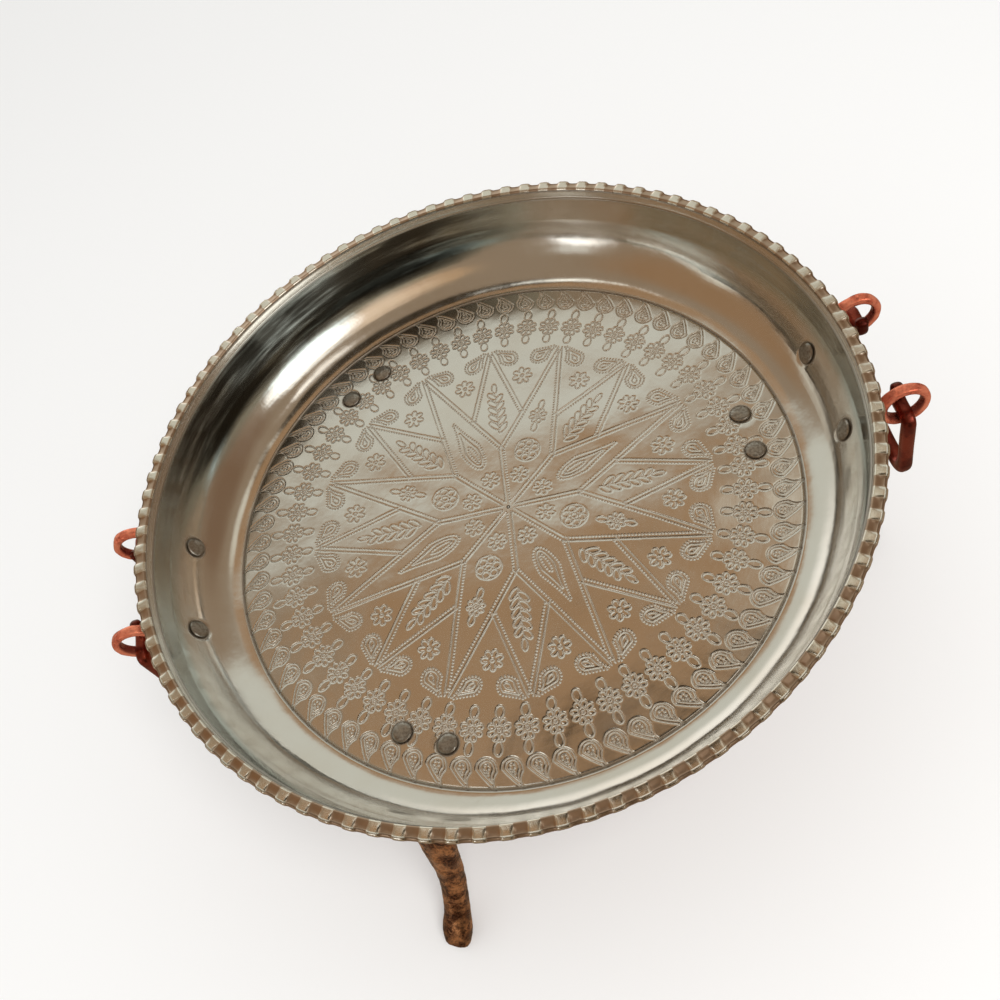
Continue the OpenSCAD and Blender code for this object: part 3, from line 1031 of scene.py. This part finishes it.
def make_rivet(node, origin, axis, grip, seed):
    """A rivet whose head stands on `origin` and points along `axis`."""
    verts, quads, tris = rivet_shape(grip, seed)
    turn = Vector((0, 0, 1)).rotation_difference(Vector(axis)).to_matrix()
    rivet = mesh_object(node + "_peened", verts @ np.array(turn).T + np.array(origin),
                        quads, tris)
    edge = np.hypot(verts[:, 0], verts[:, 1])
    # painted shade round the foot of the head, where it meets the sheet
    grime = 0.8 * smooth(3.7 * MM, 4.1 * MM, edge) * (1 - smooth(0.3 * MM, 0.9 * MM, verts[:, 2]))
    add_attribute(rivet, "grime", grime)
    rivet.data.materials.append(RIVET_METAL)
    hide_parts(node)
    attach(rivet, "tray")


def make_rivets():
    floor_nodes = sorted(n for n in frame["nodes"] if n.startswith("foot_rivet"))
    for k, (node, middle) in enumerate(zip(floor_nodes, floor_rivet_spots())):
        make_rivet(node, (middle.x, middle.y, FLOOR_TOP - RIVET_SEAT), (0, 0, 1), 4.4, 41 + k)
    # in the order of wall_rivet_spots
    wall_nodes = ["eyelet_rivet_right_front", "eyelet_rivet_right_back",
                  "eyelet_rivet_left_back", "eyelet_rivet_left_front"]
    for k, (node, (origin, out)) in enumerate(zip(wall_nodes, wall_rivet_spots())):
        make_rivet(node, origin - out * 0.05 * MM, -out, 3.65, 61 + k)


# ---- eyelets
RING_HOLE_R = 6.6 * MM
RING_T = 3.6 * MM
RING_W = 4.5 * MM
BAR_R = 2.9 * MM
RING_Z = HINGE_Z + RING_HOLE_R - BAR_R - 0.05 * MM


def eyelet_plate(azimuth):
    """Leaf-shaped base on the outside of the wall, and the point its neck springs from."""
    thick, foot_r, up, tip_r = 2.4 * MM, 5.5 * MM, 9 * MM, 3.6 * MM
    seat = 1.2 * MM
    outline = arc(0, 0, foot_r, 110, 250, 15)
    outline += [(foot_r * 0.55, -foot_r * 0.92), (up, -tip_r)]
    outline += arc(up, 0, tip_r, -80, 80, 9) + [(up, tip_r), (foot_r * 0.55, foot_r * 0.92)]
    verts, quads, tris = slab(outline, seat, seat + thick)
    # the plate's own x runs up the wall and its z runs out along the rivet
    verts = np.vstack([verts[:, ::-1], (seat + thick / 2, 0, up)])
    tilt = np.array(Matrix.Rotation(EYE_TILT, 3, "Y")).T
    verts = turned_about_z(verts @ tilt + [EYE_RIVET_R, 0, EYE_RIVET_Z], azimuth)
    return (verts[:-1], quads, tris), verts[-1]


def eyelet_neck(root, centre, hinge):
    """Waisted bar from the plate to the ring."""
    way = centre - root
    reach = np.linalg.norm(way) - RING_HOLE_R - RING_T * 0.4
    t = np.linspace(0, 1, 10)
    path = root + way / np.linalg.norm(way) * (t * reach)[:, None]
    width = (5.4 - 1.0 * np.sin(math.pi * t)) * MM
    thick = (4.8 - 1.2 * np.sin(math.pi * t)) * MM
    return swept(path, np.tile(hinge, (10, 1)), width, thick, 2.4, 24)


def eyelet_ring(root, centre, hinge, side):
    """Strap bent round into a ring, a little wider where it joins the neck."""
    turns, sides = 56, 20
    way = (centre - root) / np.linalg.norm(centre - root)
    section = np.arange(sides) * TAU / sides
    u, v = (np.sign(k) * np.abs(k) ** 0.7 for k in (np.cos(section), np.sin(section)))
    rings = []
    for angle in np.arange(turns) * TAU / turns:
        spoke = np.array([*(toward(side) * math.cos(angle)), math.sin(angle)])
        wide = RING_W * (1 + 0.10 * max(0.0, -float(spoke @ way)))
        rings.append(centre + spoke * (RING_HOLE_R + RING_T / 2 + u[:, None] * RING_T / 2)
                     + hinge * (v[:, None] * wide / 2))
    return np.vstack(rings), grid_quads(turns, sides, around=True)[:, ::-1], []


def make_eyelet(node, side, which):
    """Forged eyelet; side is the azimuth of its handle, which the end of it (-1 or 1)."""
    plate, root = eyelet_plate(side + which * EYE_AZ)
    centre = turned_about_z(np.array([EYE_R, which * EYE_Y, RING_Z]), side)
    hinge = turned_about_z(np.array([0, 1.0, 0]), side)
    eyelet = joined(node + "_forged", [plate, eyelet_neck(root, centre, hinge),
                                       eyelet_ring(root, centre, hinge, side)])
    weld(eyelet, 0.4 * MM, 3)
    points, normals = read_vectors(eyelet), read_vectors(eyelet, "normal")
    seed = 71 + int(10 * side) + which
    dents = 0.10 * MM * ripple(points, 0.007, seed) + 0.03 * MM * ripple(points, 0.0025, seed + 1)
    from_axis = (points - centre) - ((points - centre) @ hinge)[:, None] * hinge
    inner = np.abs(np.linalg.norm(from_axis, axis=1) - RING_HOLE_R)
    # the handle bears on the inside of the ring, so that face only ever gives way
    dents = np.where(inner < 1.5 * MM, np.minimum(dents, -0.06 * MM), dents)
    write_points(eyelet, points + normals * dents[:, None])
    # painted shade where the eyelet lies close to the wall
    grime = 0.7 * (1 - smooth(0.143, 0.153, np.hypot(points[:, 0], points[:, 1])))
    # painted shade inside the ring's hole
    grime = np.maximum(grime, 0.75 * (1 - smooth(0.2 * MM, 1.2 * MM, inner)))
    add_attribute(eyelet, "grime", grime)
    eyelet.data.materials.append(EYELET_COPPER)
    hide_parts(node)
    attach(eyelet, "tray")


# ---- handles
def bail_path(low, high, pivot):
    """The bent bar's line as (across, up) from the hinge, in metres, end to end."""
    arm_y, drop = high.y - BAR_R, pivot[2] - low.z - BAR_R
    hook_y, hook_up = EYE_Y - 6.5 * MM, high.z - pivot[2]
    bend, corner = 2.6 * MM, 7.5 * MM
    path = [(hook_y, z) for z in np.linspace(hook_up, bend, 6)]
    path += arc(hook_y + bend, bend, bend, 180, 270, 7)[1:]
    path += [(y, 0.0) for y in np.linspace(hook_y + bend, arm_y - bend, 6)[1:]]
    path += arc(arm_y - bend, -bend, bend, 90, 0, 7)[1:]
    path += [(arm_y, z) for z in np.linspace(-bend, corner - drop, 12)[1:]]
    path += arc(arm_y - corner, corner - drop, corner, 0, -90, 9)[1:]
    path += [(y, -drop) for y in np.linspace(arm_y - corner, 0, 9)[1:]]
    path = np.array(path)
    return np.vstack([path, path[:-1][::-1] * [-1, 1]]), drop


def make_bail(node, joint_name, body, seed):
    """Drop handle: pins turned in through the rings, straight arms, rounded grip."""
    sides = 28
    pivot = np.array(joints[joint_name]["pos_m"])
    line, drop = bail_path(*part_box(node), pivot)
    points = np.column_stack([np.zeros(len(line)), line])
    step = np.linalg.norm(np.diff(points, axis=0), axis=1)
    run = np.concatenate([[0], np.cumsum(step)])
    from_end = np.minimum(run, run[-1] - run)
    grip = smooth(0.62, 0.95, np.clip(-points[:, 2] / drop, 0, 1))
    hook = 1 - smooth(3 * MM, 8 * MM, from_end)
    cap_share = np.clip(from_end / (1.1 * MM), 0, 1)
    thick = (5.5 + 0.4 * grip - 0.6 * hook) * MM
    thick *= np.sqrt(np.clip(1 - (1 - cap_share) ** 2, 0.12, 1))
    across = np.tile([1.0, 0, 0], (len(points), 1))
    verts, quads, tris = swept(points, across, thick, thick * 0.97, 2.5, sides)
    flat = 0.05 * MM * ripple(verts, 0.011, seed) + 0.02 * MM * ripple(verts, 0.004, 95)
    spine = np.repeat(points, sides, axis=0)
    away = verts[:len(spine)] - spine
    away /= np.maximum(np.linalg.norm(away, axis=1), 1e-6)[:, None]
    verts[:len(spine)] += away * flat[:len(spine), None]
    bail = mesh_object(node + "_forged", verts + pivot, quads[:, ::-1], tris[:, ::-1])
    # painted shade on the ends where they pass through the rings
    near_ring = 1 - smooth(5 * MM, 12 * MM, np.append(np.repeat(from_end, sides), [0, 0]))
    add_attribute(bail, "grime", 0.6 * near_ring)
    bail.data.materials.append(BAIL_COPPER)
    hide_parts(node)
    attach(bail, body)


# ---- build
# each dark colour below serves the mottled patches and the painted shade
PAN_COPPER = copper_material(
    "pan_outside_copper", bright=(0.90, 0.48, 0.32), dull=(0.70, 0.34, 0.21),
    dark=(0.24, 0.12, 0.08), rough=0.17, mottle=30.0, darkness=0.45, pits=0.03, hollows=0.42)
FOOT_COPPER = copper_material(
    "cast_foot_copper", bright=(0.85, 0.44, 0.22), dull=(0.34, 0.14, 0.07),
    dark=(0.03, 0.011, 0.007), rough=0.17, mottle=170.0, darkness=0.95, pits=0.25, skin=0.04,
    cover=0.42)
EYELET_COPPER = copper_material(
    "eyelet_bright_copper", bright=(1.0, 0.34, 0.20), dull=(0.84, 0.20, 0.11),
    dark=(0.18, 0.03, 0.02), rough=0.17, mottle=140.0, darkness=0.75, pits=0.12, skin=0.30,
    cover=0.47)
BAIL_COPPER = copper_material(
    "bail_dark_copper", bright=(0.40, 0.09, 0.06), dull=(0.22, 0.045, 0.035),
    dark=(0.06, 0.014, 0.012), rough=0.24, mottle=90.0, darkness=0.6)
RIVET_METAL = rivet_material()

make_pan()
for foot_name, foot_azimuth in (("right", 0), ("back", 120), ("front", 240)):
    make_foot(f"foot_{foot_name}_cast", f"foot_{foot_name}", foot_azimuth)
make_rivets()
make_eyelet("eyelet_right_front", 0.0, -1)
make_eyelet("eyelet_right_back", 0.0, 1)
make_eyelet("eyelet_left_front", math.pi, 1)
make_eyelet("eyelet_left_back", math.pi, -1)
make_bail("bail_right", "right_handle_swing", "right_handle", 91)
make_bail("bail_left", "left_handle_swing", "left_handle", 92)


# ---- studio
def make_ground():
    """Plain pale floor that the tray stands on."""
    far = 6.0
    corners = [(-far, -far, 0), (far, -far, 0), (far, far, 0), (-far, far, 0)]
    ground = mesh_object("pale_ground", corners, [(0, 1, 2, 3)])
    s = Shader("pale_ground")
    s.set(Base_Color=(0.86, 0.86, 0.855), Roughness=0.9, Specular_IOR_Level=0.1)
    ground.data.materials.append(s.material)
    ground.visible_glossy = False


def direction(azimuth, elevation):
    a, e = math.radians(azimuth), math.radians(elevation)
    return (math.cos(a) * math.cos(e), math.sin(a) * math.cos(e), math.sin(e))


# what the room looks like in the metal: (azimuth, elevation, core and fade in degrees, colour)
ROOM_BASE = (0.285, 0.21, 0.14)
ROOM = [
    (180, 28, 14, 36, (0.30, 0.18, 0.095)),
    (8, 30, 10, 30, (0.20, 0.125, 0.075)),
    (98, 68, 12, 20, (0.35, 0.215, 0.115)),
    (95, 12, 40.5, 44, (0.60, 0.59, 0.51)),
    (107, 6, 10, 28, (1.05, 1.00, 0.90)),
    (148, 2, 8, 18, (0.62, 0.57, 0.47)),
    (60, 62, 3, 10, (0.66, 0.61, 0.50)),
    (186, 2, 5, 13, (0.74, 0.70, 0.58)),
    (271, 37, 6, 15, (0.50, 0.33, 0.19)),
    (290, 38, 7, 18, (0.78, 0.58, 0.40)),
    (275, 0, 14, 26, (0.025, 0.018, 0.01)),
    (317, 31, 12, 20, (2.0, 1.95, 1.8)),
    (317, 1, 8, 14, (0.12, 0.08, 0.05)),
    (338, 68, 4, 9, (1.35, 1.25, 1.10)),
    (226, 21, 3, 8, (0.70, 0.66, 0.58)),
    (225, 6, 5, 11, (1.70, 1.65, 1.55)),
    (85, 82, 11, 16, (0.035, 0.025, 0.015)),
    (141, 73, 2.5, 6, (1.35, 1.30, 1.15)),
]


def make_world():
    """Even pale light on the ground; a soft warm room for the metal to reflect."""
    world = bpy.data.worlds.new("studio")
    bpy.context.scene.world = world
    world.use_nodes = True
    world.cycles.sampling_method = "NONE"
    world.node_tree.nodes.clear()
    n = Nodes(world.node_tree)
    coords = n.node("ShaderNodeTexCoord").outputs["Generated"]
    colour = ROOM_BASE
    for azimuth, elevation, core, fade, tint in ROOM:
        dot = n.node("ShaderNodeVectorMath", {0: coords, 1: direction(azimuth, elevation)},
                     operation="DOT_PRODUCT").outputs["Value"]
        share = n.band(dot, math.cos(math.radians(fade)), math.cos(math.radians(core)))
        colour = n.mix(share, colour, tint)
    room = n.node("ShaderNodeBackground", {"Color": colour}).outputs[0]
    pale = n.node("ShaderNodeBackground", {"Color": (1.0, 0.995, 0.985, 1),
                                           "Strength": 0.85}).outputs[0]
    glossy = n.node("ShaderNodeLightPath").outputs["Is Glossy Ray"]
    pick = n.node("ShaderNodeMixShader", {0: glossy, 1: pale, 2: room}).outputs[0]
    n.node("ShaderNodeOutputWorld", {"Surface": pick})


def make_lamp(name, azimuth, elevation, distance, size, power):
    """Soft round lamp aimed at the tray."""
    light = bpy.data.lights.new(name, "AREA")
    light.shape = "DISK"
    light.size = size
    light.energy = power
    light.color = (1, 0.985, 0.96)
    lamp = bpy.data.objects.new(name, light)
    spot = Vector(direction(azimuth, elevation)) * distance + Vector((0, 0, FLOOR_TOP))
    lamp.location = spot
    lamp.rotation_euler = (Vector((0, 0, FLOOR_TOP)) - spot).to_track_quat("-Z", "Y").to_euler()
    lamp.visible_glossy = False
    bpy.context.scene.collection.objects.link(lamp)


# the photograph's viewing angle
VIEW_AZIMUTH = math.radians(10.0)
VIEW_ELEVATION = math.radians(54.9)
VIEW_ROLL = math.radians(-25.6)
VIEW_DISTANCE = 0.458
VIEW_AIM = Vector((-0.0028, 0.0046, FLOOR_TOP))
LENS = 38.8


def make_camera():
    data = bpy.data.cameras.new("camera")
    data.lens = LENS
    data.sensor_width = 36
    camera = bpy.data.objects.new("camera", data)
    bpy.context.scene.collection.objects.link(camera)
    bpy.context.scene.camera = camera
    a, e = VIEW_AZIMUTH, VIEW_ELEVATION
    back = Vector((math.sin(a) * math.cos(e), -math.cos(a) * math.cos(e), math.sin(e)))
    camera.location = VIEW_AIM + back * VIEW_DISTANCE
    level = (-back).to_track_quat("-Z", "Y").to_matrix()
    camera.rotation_euler = (level @ Matrix.Rotation(VIEW_ROLL, 3, "Z")).to_euler()
    data.clip_start = 0.01


make_ground()
make_world()
make_lamp("key_lamp", -60, 58, 1.6, 0.7, 12)
make_camera()
bpy.context.scene.view_settings.view_transform = "Standard"
bpy.context.scene.view_settings.look = "None"
